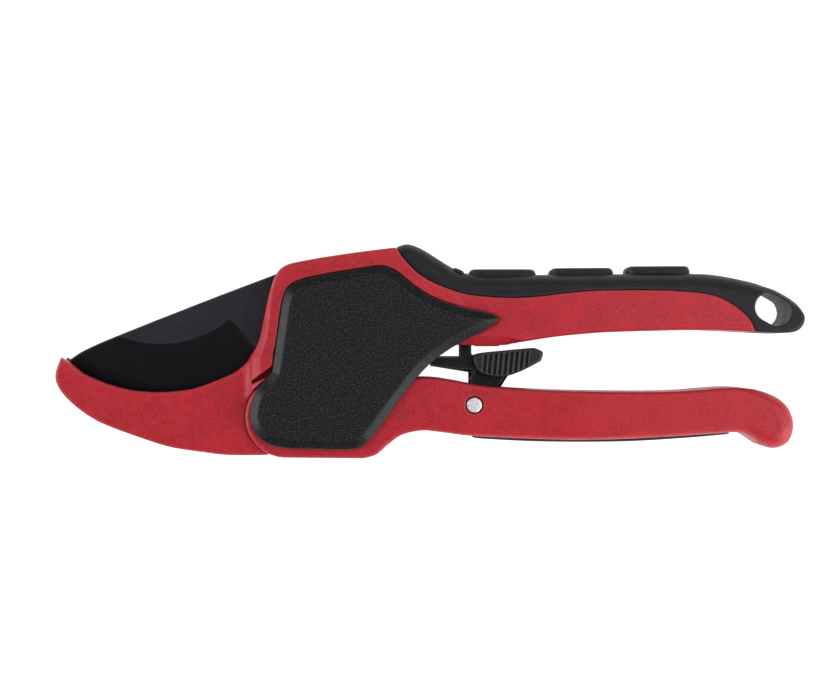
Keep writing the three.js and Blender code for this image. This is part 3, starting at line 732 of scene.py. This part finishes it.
def upper_frame(s):
    height = np.abs(s.z)
    flank = 0.7 + 1.3 * (1 - smoothstep(s.y, 8, 21)) * (1 - smoothstep(s.x, -7, 3))
    rim = RIM_OUT - 1.1 * smoothstep(s.x, 32, 50)
    head = bevelled(s.flat(HEAD), height - rim, flank)
    jaw = rounded(s.flat(JAW), height - JAW_HALF, 1.0)
    whole = join(join(jaw, head, 3.5), s.plate(s.flat(WALL), -WALL_OUT, WALL_OUT, 0.4), 0.6)
    whole = join(whole, handle_form(s), 1.2)
    whole = cut(whole, s.flat(GRIP_REGION) - SEAM, 0.25)
    whole = join(whole, s.plate(s.flat(GRIP_RIB), -RIB_HALF, RIB_HALF, 0.5))
    cover_room = np.maximum(s.flat(COVER) - FIT, COVER_IN - GAP - height)
    tang = s.swept(TANG_ROOM, BLADE_PIVOT, BLADE_TRAVEL) - 0.5
    cheeks = s.swept(CHEEK, PIVOT, HANDLE_TRAVEL) - FIT
    heel = s.swept(HEEL_FLOOR, PIVOT, HANDLE_TRAVEL) - GAP
    spring_way = outline(PIVOT, (-9, -28), (24, -28), (11, -14))
    cuts = [
        cover_room,
        np.maximum(tang, height - WALL_IN),
        np.maximum(cheeks, WALL_OUT - height),
        np.maximum(heel, height - WALL_OUT - 0.1),
        np.maximum(s.flat(WEDGE), WALL_OUT - height),
        rounded(s.flat(CATCH_CHANNEL), height - CHANNEL_HALF, 1.0),
        ring_slot(s, EDGE_RADIUS - 4, EDGE_RADIUS + 3.2, -121, -61, 2.2),
        s.pin(PIVOT, PIVOT_BORE, -THROUGH, THROUGH),
        s.pin(PIVOT, 6.4, -3, 3),
        s.plate(s.flat(spring_way), -3, 3),
        s.plate(s.along([(-3, -19.1), (-13, -19.3)], 1.1), -2.6, 2.6),
        s.pin(BLADE_PIVOT, BOLT_BORE, -THROUGH, THROUGH),
        np.maximum(s.round(BLADE_PIVOT, 4.3), 4.7 - height),
        s.pin(KEEPER, PIN_BORE, -6.9, 6.9),
        *[s.pin(middle(f"anvil_pin_{k}"), 1.35, -4, 4) for k in (1, 2)],
        *[s.pin(place, SCREW_BORE, -THROUGH, THROUGH) for place in COVER_SCREWS],
    ]
    for room in cuts:
        whole = cut(whole, room, 0.35)
    return whole


def upper_grip(s):
    whole = both(handle_form(s), s.flat(GRIP_REGION) + SEAM, 0.35)
    for path, tall in GRIP_PADS:
        centre, reach = (path[0][0] + path[1][0]) / 2, (path[1][0] - path[0][0]) / 2 + tall
        ends = np.clip(np.abs(s.x - centre) / reach, 0, 1) ** 6
        pad = rounded(s.along(path, tall), np.abs(s.z) - 5.4 + 2.2 * ends, 0.9 * tall)
        seam = np.maximum(np.abs(pad - 0.22) - 0.2, -(whole + 0.45))
        whole = join(cut(whole, seam, 0.3), pad, 0.3)
    rib_room = s.plate(s.flat(GRIP_RIB) - GAP, -RIB_HALF - GAP, RIB_HALF + GAP)
    return cut(cut(whole, rib_room), s.along(HANG_HOLE, HANG_RADIUS), 0.6)


def lower_handle(s):
    side = s.flat(LOWER_HANDLE)
    width = np.abs(s.z) / (1 + SWELL * smoothstep(s.x, 58, 84))
    edge = 1.1 + 1.3 * smoothstep(s.x, 30, 60) * (1 - smoothstep(s.y, -15, -10))
    edge = edge + 2.2 * smoothstep(s.x, 121, 136)
    whole = rounded(side, width - CHEEK_OUT, edge)
    height = np.abs(s.z)
    cuts = [
        s.plate(s.flat(LOWER_CHANNEL), -CHEEK_IN, CHEEK_IN),
        s.plate(s.flat(LOWER_GRIP_SEAT), -CHANNEL_HALF, CHANNEL_HALF),
        s.pin(PIVOT, PIVOT_BORE, -THROUGH, THROUGH),
        s.pin(DRIVE, 2.8, -THROUGH, THROUGH),
        s.pin(RIVET, 1.9, -THROUGH, THROUGH),
    ]
    for room in cuts:
        whole = cut(whole, room, 0.4)
    return cut(whole, np.maximum(s.round(RIVET, RIVET_RECESS), 6.6 - height), 0.12)


def lower_grip(s):
    return s.plate(s.flat(LOWER_GRIP), -4.6, 4.6, 0.7)


# ---------------------------------------------------------------- covers and cutting parts
def cover(s, height):
    """A shallow plate whose edge slopes down to a low upright side."""
    side = s.flat(COVER)
    run, rise = 2.5, HALF_DEPTH - COVER_SIDE
    slope = (height - COVER_SIDE + side * rise / run) / math.hypot(1, rise / run)
    top = both(both(side, slope, 0.3), height - HALF_DEPTH, 0.3)
    return both(top, COVER_IN - height, 0.1)


def front_cover(s):
    whole = cover(s, s.z)
    for place in COVER_SCREWS:
        whole = cut(whole, s.pin(place, COVER_BORE, 6, 9.3))
    return whole


def back_cover(s):
    whole = cover(s, -s.z)
    for place in [*COVER_SCREWS, PIVOT]:
        whole = cut(whole, s.pin(place, COVER_BORE, -12, 0))
        whole = cut(whole, s.pin(place, COVER_RECESS, -12, -COVER_SIDE), 0.4)
    return whole


def blade(s):
    reach = np.hypot(s.x - EDGE_CENTRE[0], s.y - EDGE_CENTRE[1])
    inner = (s.x - RUN_OUT[0]) * RUN_OUT_NORMAL[0] + (s.y - RUN_OUT[1]) * RUN_OUT_NORMAL[1]
    slope = (BLADE_HALF - 0.15) / (EDGE_RADIUS - GRIND_RADIUS)
    ground = np.maximum(reach - GRIND_RADIUS, 0) * slope * np.clip(inner / 1.4, 0, 1)
    whole = bevelled(s.flat(BLADE), np.abs(s.z) - (BLADE_HALF - ground), 0.22, 0.1)
    whole = cut(whole, s.along(CAM_PATH, 2.9), 0.2)
    whole = cut(whole, s.round(COIL_RELIEF, COIL_ROOM), 0.2)
    return cut(whole, s.round(BLADE_PIVOT, 5.3), 0.2)


def anvil_insert(s):
    whole = ring_slot(s, EDGE_RADIUS + GAP, EDGE_RADIUS + 2.85, -120.65, -61.35, 1.85)
    for k in (1, 2):
        whole = cut(whole, s.round(middle(f"anvil_pin_{k}"), 1.15), 0.1)
    return whole


# ---------------------------------------------------------------- the catch
def catch_plate(s):
    stem = smoothstep(s.y, -8, -6) * (1 - smoothstep(s.y, -2, 0))
    beside = smoothstep(51.9 - s.x + 0.53 * s.y, 0.0, 0.25) * (1 - smoothstep(s.y, -1.2, -0.8))
    face = np.abs(s.z) - CATCH_HALF + 0.4 * beside
    whole = bevelled(s.flat(CATCH), face, 0.3 + 0.6 * stem, 0.1)
    return cut(whole, s.round(RIVET, 1.95), 0.15)


def thumb_pad(s):
    """Ribbed on both faces; the ribs lean a little and stop short of its ends."""
    side = s.flat(PAD)
    lean = s.x - 0.1 * s.y
    wave = 0.5 + 0.5 * np.cos(2 * math.pi * (lean - 53.1) / 1.45)
    ribbed = smoothstep(lean, 52.8, 53.5) * (1 - smoothstep(lean, 65.4, 66.1))
    ribbed = ribbed * (1 - smoothstep(side, -0.9, -0.3))
    face = np.abs(s.z) - 7 + 0.75 * ribbed * (1 - wave)
    whole = rounded(side, face, 0.9)
    return cut(whole, np.maximum(s.flat(CATCH) - 0.3, np.abs(s.z) - (CATCH_HALF + 0.3)), 0.1)


# ---------------------------------------------------------------- pins, screws and rings
def round_pin(s, node, edge=0.3):
    low, high = span(node)
    return s.pin(middle(node), (high[0] - low[0]) / 2, low[2], high[2], edge)


def threaded(s, place, radius, low, high, pitch=0.7):
    """A screw's shank with a fine thread."""
    turn = np.arctan2(s.y - place[1], s.x - place[0]) / (2 * math.pi)
    ridge = 0.09 * np.cos(2 * math.pi * (s.z / pitch - turn))
    return rounded(s.round(place, radius - 0.09) - ridge, s.between(low, high), 0.15)


def cover_screw(s, node):
    low, high = span(node)
    place = middle(node)
    head = s.pin(place, SCREW_HEAD, low[2], low[2] + 0.9, 0.3)
    whole = join(head, threaded(s, place, 1.4, low[2] + 0.8, high[2]), 0.15)
    socket = np.maximum(s.hexagon(place, 1.13), s.z - low[2] - 0.5)
    return cut(whole, socket, 0.12)


def blade_bolt(s, node):
    whole = join(s.pin(BLADE_PIVOT, 3.5, -4.4, 5.1, 0.2), s.pin(BLADE_PIVOT, NUT_RADIUS, 5, 7.3, 0.4))
    whole = join(whole, threaded(s, BLADE_PIVOT, 1.9, -7.2, -4.3, 0.8))
    return cut(whole, np.maximum(s.hexagon(BLADE_PIVOT, 1.73), 6 - s.z), 0.15)


def blade_nut(s, node):
    low, high = span(node)
    face = s.between(low[2], high[2])
    whole = both(s.hexagon(BLADE_PIVOT, 3.42), face, 0.1)
    whole = both(whole, (s.round(BLADE_PIVOT, NUT_RADIUS) + face + 0.5) / math.sqrt(2), 0.1)
    return cut(whole, s.round(BLADE_PIVOT, 2.2), 0.2)


def lower_pivot_pin(s, node):
    return cut(round_pin(s, node, 0.4), s.pin(PIVOT, 1.75, -9, -2.4), 0.2)


def ring(s, node, bore):
    return cut(round_pin(s, node, 0.15), s.round(middle(node), bore), 0.15)


def catch_rivet(s, node):
    """A peened rivet: slightly crowned heads with a dark ring round them in the handle."""
    low, high = span(node)
    crown = 0.14 * (s.round(RIVET, 0) / RIVET_HEAD) ** 2
    heads = rounded(s.round(RIVET, RIVET_HEAD), np.abs(s.z) - high[2] + crown, 0.22)
    heads = np.maximum(heads, 7.3 - np.abs(s.z))
    return join(heads, s.pin(RIVET, RIVET_SHANK, -7.8, 7.8), 0.1)


def coil(centre, radius, start, turns, low, pitch, first_leg, last_leg):
    """A torsion spring's wire: its turns climb by pitch, with a straight leg at each end."""
    count = round(abs(turns) * 28)
    points = [(*first_leg, low)]
    for k in range(count + 1):
        turn = math.radians(start + 360 * turns * k / count)
        climb = pitch * abs(turns) * k / count
        points.append((centre[0] + radius * math.cos(turn),
                       centre[1] + radius * math.sin(turn), low + climb))
    return [*points, (*last_leg, low + pitch * abs(turns))]


# ---------------------------------------------------------------- putting the tool together
RED_UPPER = red_paint("red_paint_upper", (0.405, 0.0095, 0.021))
# painted shade: the same powder coat as the upper casting, made a little darker for the lower handle
RED_LOWER_PAINTED_SHADE = red_paint("red_paint_lower_painted_shade", (0.4, 0.0085, 0.019))
RUBBER = soft_rubber()
COVER_FINISH = eroded_plastic()
BLADE_FINISH = blade_coating()
STEEL = zinc_steel("zinc_steel", 0.52, 0.66)
RIVET_STEEL = zinc_steel("rivet_steel", 0.66, 0.88, 0.5, 0.06)
CATCH_FINISH = black_steel()
PAD_FINISH = black_plastic("pad_plastic", 0.0025, 0.006)
NYLON = black_plastic("nylon", 0.008, 0.014)

# node: (body, slot, finish, grid step, share of the mesh kept, shape)
PIECES = {
    "upper_frame": ("frame", "red_casting", RED_UPPER, 0.4, 0.55, upper_frame),
    "upper_grip": ("frame", "soft_grip", RUBBER, 0.33, 0.6, upper_grip),
    "lower_handle": ("lower_handle", "red_casting", RED_LOWER_PAINTED_SHADE, 0.4, 0.6, lower_handle),
    "lower_grip": ("lower_handle", "soft_grip", RUBBER, 0.3, 0.5, lower_grip),
    "front_cover": ("frame", "cover_black", COVER_FINISH, 0.27, 0.3, front_cover),
    "back_cover": ("frame", "cover_black", COVER_FINISH, 0.27, 0.3, back_cover),
    "blade": ("blade", "blade_steel", BLADE_FINISH, (0.25, 0.25, 0.11), 0.4, blade),
    "anvil_insert": ("frame", "nylon", NYLON, 0.3, 0.5, anvil_insert),
    "catch_plate": ("catch", "catch_steel", CATCH_FINISH, 0.15, 0.4, catch_plate),
    "thumb_pad": ("catch", "pad_black", PAD_FINISH, 0.17, 0.6, thumb_pad),
}
FASTENERS = {
    "anvil_pin_1": ("frame", "steel", STEEL, round_pin),
    "anvil_pin_2": ("frame", "steel", STEEL, round_pin),
    "keeper_pin": ("frame", "steel", STEEL, round_pin),
    "drive_pin": ("lower_handle", "steel", STEEL, round_pin),
    "lower_pivot_pin": ("frame", "steel", STEEL, lower_pivot_pin),
    "cover_screw_1": ("frame", "steel", STEEL, cover_screw),
    "cover_screw_2": ("frame", "steel", STEEL, cover_screw),
    "pivot_screw": ("frame", "steel", STEEL, cover_screw),
    "blade_bolt": ("frame", "steel", STEEL, blade_bolt),
    "blade_nut": ("frame", "steel", STEEL, blade_nut),
    "catch_rivet": ("lower_handle", "steel", RIVET_STEEL, catch_rivet),
    "spring_core": ("frame", "nylon", NYLON, lambda s, node: ring(s, node, 3.35)),
    "blade_bush": ("blade", "nylon", NYLON, lambda s, node: ring(s, node, 3.8)),
}


def build_pieces():
    for node, (body, slot, finish, step, share, shape) in PIECES.items():
        space = Space(node, step)
        piece = surface(f"{node}_shell", space, shape(space), share)
        dress(piece, body, finish, [node])
    for node, (body, slot, finish, shape) in FASTENERS.items():
        space = Space(node, 0.13, 0.5)
        piece = surface(f"{node}_fine", space, shape(space, node), 0.4)
        dress(piece, body, finish, [node])


def build_springs():
    """Each spring is a wire that runs from one straight leg, through its coil, to the other."""
    springs = {
        "return_spring": (coil(PIVOT, 5, -84, -2.03, -1.5, 1.5, (15, -22.3), (-12.4, -19.3)),
                          0.6, "lower_handle", "frame"),
        "catch_spring": (coil(RIVET, 2.9, 0, 2.25, 2.2, 0.8, (54.2, -7.2), (58.2, -13.8)),
                         0.3, "catch", "lower_handle"),
    }
    for node, (points, radius, first, last) in springs.items():
        piece = tube(f"{node}_wire", points, radius)
        piece.data.materials.append(STEEL)
        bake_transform(piece)
        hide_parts(node)


# ---------------------------------------------------------------- studio
VIEW_CENTRE = (35.98, 4.5)
VIEW_HEIGHT = 380.0  # from the middle plane
LENS = 57.9


def floor():
    bpy.ops.mesh.primitive_plane_add(size=8, location=(0, 0, -0.0002))
    stage = bpy.context.object
    stage.name = "floor"
    finish = Finish("floor_paint", specular=0.1)
    finish.color(finish.mix(finish.noise(400, 2), (0.39, 0.39, 0.39), (0.41, 0.41, 0.41)))
    finish.shader.inputs["Roughness"].default_value = 0.9
    finish.shader.inputs["Emission Color"].default_value = (1, 1, 1, 1)
    finish.shader.inputs["Emission Strength"].default_value = 1.0
    stage.data.materials.append(finish.material)


def softbox(name, azimuth, elevation, distance, size, radiance, target=(0.036, 0, 0.01)):
    """A square light that faces the tool, from a compass direction and height above it."""
    a, e = math.radians(azimuth), math.radians(elevation)
    away = Vector((math.cos(a) * math.cos(e), math.sin(a) * math.cos(e), math.sin(e)))
    data = bpy.data.lights.new(name, "AREA")
    data.size = size
    data.energy = radiance * math.pi * size * size
    light = bpy.data.objects.new(name, data)
    light.location = Vector(target) + away * distance
    light.rotation_mode = "QUATERNION"
    light.rotation_quaternion = away.to_track_quat("Z", "Y")
    bpy.context.collection.objects.link(light)


def lights():
    softbox("left_box", 180, 27, 0.8, 0.6, 3.7)
    softbox("right_box", -25, 27, 0.7, 0.6, 3.5)
    softbox("top_box", 85, 62, 0.7, 0.5, 1.2)
    softbox("roof_box", 15, 60, 0.6, 0.4, 1.3, (0.09, 0, 0.01))
    softbox("bottom_box", -80, 60, 0.7, 0.45, 0.4)
    world = bpy.data.worlds.new("studio")
    bpy.context.scene.world = world
    world.use_nodes = True
    nodes, links = world.node_tree.nodes, world.node_tree.links
    place = nodes.new("ShaderNodeTexCoord")
    split = nodes.new("ShaderNodeSeparateXYZ")
    ramp = nodes.new("ShaderNodeMapRange")
    for name, number in (("From Min", 0.0), ("From Max", 0.6), ("To Min", 0.8), ("To Max", 0.05)):
        ramp.inputs[name].default_value = number
    links.new(place.outputs["Generated"], split.inputs["Vector"])
    links.new(split.outputs["Z"], ramp.inputs["Value"])
    links.new(ramp.outputs["Result"], nodes["Background"].inputs["Strength"])
    nodes["Background"].inputs["Color"].default_value = (1, 1, 1, 1)


def camera():
    data = bpy.data.cameras.new("camera")
    data.sensor_width, data.lens = 36, LENS
    data.clip_start, data.clip_end = 0.01, 20
    eye = bpy.data.objects.new("camera", data)
    eye.location = (*model_place(*VIEW_CENTRE), (VIEW_HEIGHT + HALF_DEPTH) * MM)
    bpy.context.collection.objects.link(eye)
    bpy.context.scene.camera = eye


build_pieces()
build_springs()
floor()
lights()
camera()
bpy.context.scene.view_settings.view_transform = "Standard"
